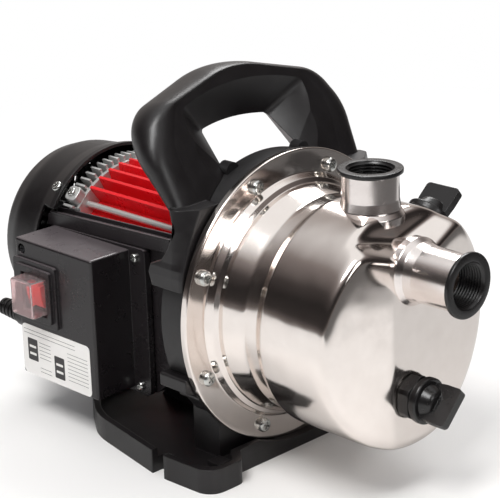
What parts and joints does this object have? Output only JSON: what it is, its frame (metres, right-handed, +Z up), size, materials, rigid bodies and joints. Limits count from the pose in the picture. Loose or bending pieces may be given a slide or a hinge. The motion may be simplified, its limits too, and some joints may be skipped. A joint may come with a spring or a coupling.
{
  "type": "self-priming garden jet pump",
  "caption": "Self-priming jet pump: a stainless drum casing with threaded suction and discharge necks, finned motor, leaning handle, moulded stand, side control box.",
  "frame": {"origin": "on the floor below the shaft, in the plane of the casing flange's front face", "axes": "+X along the shaft towards the suction port, +Z up, control box on the -Y side"},
  "size_m": [0.423, 0.2285, 0.2811],
  "materials": {
    "polished_steel": "polished stainless steel pressing",
    "black_plastic": "fine-grained moulded plastic",
    "black_metal": "black powder coat",
    "motor_red": "red paint on an extruded housing",
    "raw_aluminium": "raw die-cast aluminium",
    "rotor_metal": "cast cage on laminations",
    "zinc_screws": "zinc-plated steel",
    "ground_steel": "ground steel",
    "lamination_steel": "stacked laminations",
    "copper_wire": "varnished copper wire",
    "rubber": "black rubber",
    "grey_plastic": "glass-filled plastic",
    "ceramic": "ground ceramic",
    "switch_black": "gloss plastic",
    "switch_red": "red gloss plastic",
    "clear_cap": "clear soft plastic",
    "capacitor_white": "pale plastic"
  },
  "bodies": {
    "pump": {"pump_casing": "polished_steel", "discharge_neck": "polished_steel", "suction_neck": "polished_steel", "filler_boss": "polished_steel", "carry_handle": "black_plastic", "stand": "black_plastic", "fan_cover": "black_plastic", "box_tray": "black_plastic", "box_cover": "black_plastic", "drain_boss": "black_plastic", "discharge_thread_insert": "black_plastic", "suction_thread_insert": "black_plastic", "gland_body": "black_plastic", "gland_lock_nut": "black_plastic", "gland_nut": "black_plastic", "motor_bracket": "black_metal", "motor_housing": "motor_red", "rear_end_shield": "raw_aluminium", "casing_screws": "zinc_screws", "handle_screws": "zinc_screws", "stand_screws": "zinc_screws", "tie_rods": "zinc_screws", "fan_cover_screws": "zinc_screws", "box_screws": "zinc_screws", "fan_cover_tabs": "zinc_screws", "front_bearing_outer": "ground_steel", "rear_bearing_outer": "ground_steel", "seal_plate": "ground_steel", "capacitor_clip": "ground_steel", "stator_core": "lamination_steel", "stator_windings": "copper_wire", "casing_gasket": "rubber", "box_gasket": "rubber", "diffuser": "grey_plastic", "ejector_body": "grey_plastic", "jet_nozzle": "grey_plastic", "seal_seat": "ceramic", "switch_body": "switch_black", "splash_cap": "clear_cap", "run_capacitor": "capacitor_white", "terminal_block": "capacitor_white"},
    "rotor": {"rotor_shaft": "ground_steel", "rotor_core": "rotor_metal", "cooling_fan": "grey_plastic", "water_slinger": "rubber", "seal_head": "ground_steel", "impeller": "grey_plastic", "impeller_nut": "ground_steel", "front_bearing_inner": "ground_steel", "rear_bearing_inner": "ground_steel"},
    "filler_carrier": {"filler_gasket": "rubber"},
    "filler_plug": {"filler_plug": "black_plastic"},
    "drain_carrier": {"drain_gasket": "rubber"},
    "drain_plug": {"drain_plug": "black_plastic"},
    "rocker": {"switch_rocker": "switch_red"}
  },
  "joints": [
    {"name": "rotor_spin", "type": "hinge", "parent": "pump", "child": "rotor", "pos_m": [0, 0, 0.118], "axis": [1, 0, 0], "continuous": true},
    {"name": "filler_lift", "type": "slide", "parent": "pump", "child": "filler_carrier", "axis": [0, 0.766, 0.6428], "range_m": [0, 0.01101]},
    {"name": "filler_turn", "type": "hinge", "parent": "filler_carrier", "child": "filler_plug", "pos_m": [0.068, 0.06611, 0.17347], "axis": [0, 0.766, 0.6428], "range_deg": [0, 1980]},
    {"name": "drain_lift", "type": "slide", "parent": "pump", "child": "drain_carrier", "axis": [1, 0, 0], "range_m": [0, 0.01101]},
    {"name": "drain_turn", "type": "hinge", "parent": "drain_carrier", "child": "drain_plug", "pos_m": [0.1205, 0, 0.07], "axis": [1, 0, 0], "range_deg": [0, 1980]},
    {"name": "rocker_tilt", "type": "hinge", "parent": "pump", "child": "rocker", "pos_m": [-0.1735, -0.098, 0.1055], "axis": [1, 0, 0], "range_deg": [-18, 0]}
  ],
  "couplings": [
    {"joint": "filler_lift", "follows": "filler_turn", "m_per_rad": 0.00031831},
    {"joint": "drain_lift", "follows": "drain_turn", "m_per_rad": 0.00031831}
  ]
}
